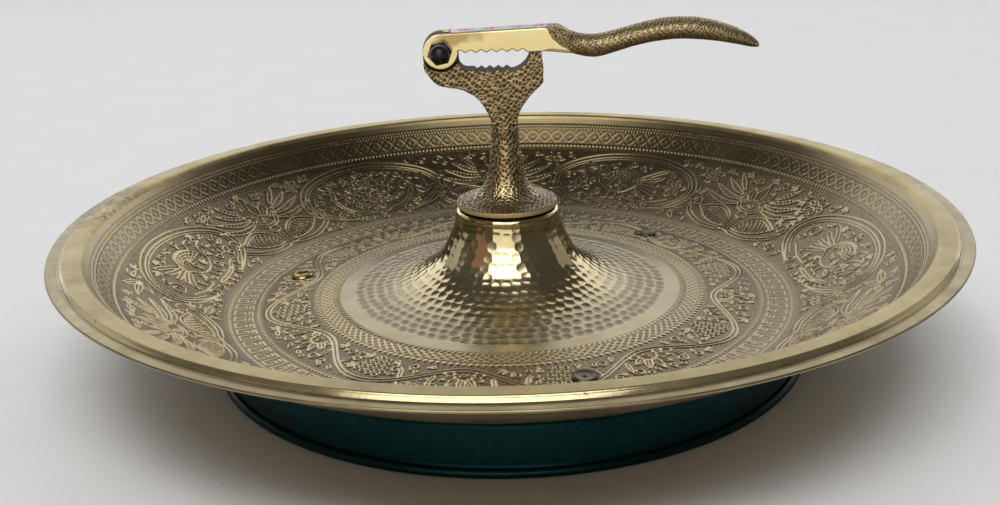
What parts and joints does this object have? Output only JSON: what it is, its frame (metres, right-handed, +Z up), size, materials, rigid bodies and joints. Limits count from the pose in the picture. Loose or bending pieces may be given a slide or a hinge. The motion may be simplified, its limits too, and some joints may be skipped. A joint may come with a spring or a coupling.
{
  "type": "nut bowl with nutcracker",
  "caption": "Round engraved brass bowl with a hammered centre dome that carries a lever nutcracker with toothed jaws and a curved handle, on a painted ring base.",
  "frame": {"origin": "on the table, at the centre of the base ring, on the bowl's axis", "axes": "+Z up along the bowl's axis, +X along the closed nutcracker's handle, -Y towards the domed nut of the pivot"},
  "size_m": [0.3, 0.3, 0.1107],
  "materials": {
    "engraved_brass": "engraved and antiqued, polished on the dome and rim",
    "green_paint": "dark green gloss, chipped at the foot bead",
    "dark_bronze": "cast with a hammered texture, darkened",
    "lever_bronze": "flanks ground bright, handle hammered and darkened",
    "enamel": "glossy, small coloured motifs",
    "fibre": "matt",
    "zinc_steel": "dull plated",
    "black_steel": "blackened, semi-gloss",
    "rivet_brass": "tarnished"
  },
  "bodies": {
    "root": {"base": "green_paint", "bowl": "engraved_brass", "foot_gasket": "fibre", "plain_washer": "zinc_steel", "post": "dark_bronze", "post_screw": "zinc_steel", "rivet_1": "rivet_brass", "rivet_2": "rivet_brass", "rivet_3": "rivet_brass", "spring_washer": "zinc_steel"},
    "lever": {"lever": "lever_bronze", "lever_inlay": "enamel", "pivot_bolt": "black_steel", "acorn_nut": "black_steel"}
  },
  "joints": [
    {"name": "lever_hinge", "type": "hinge", "parent": "root", "child": "lever", "pos_m": [-0.0202, 0, 0.1022], "axis": [0, -1, 0], "range_deg": [0, 142]}
  ]
}
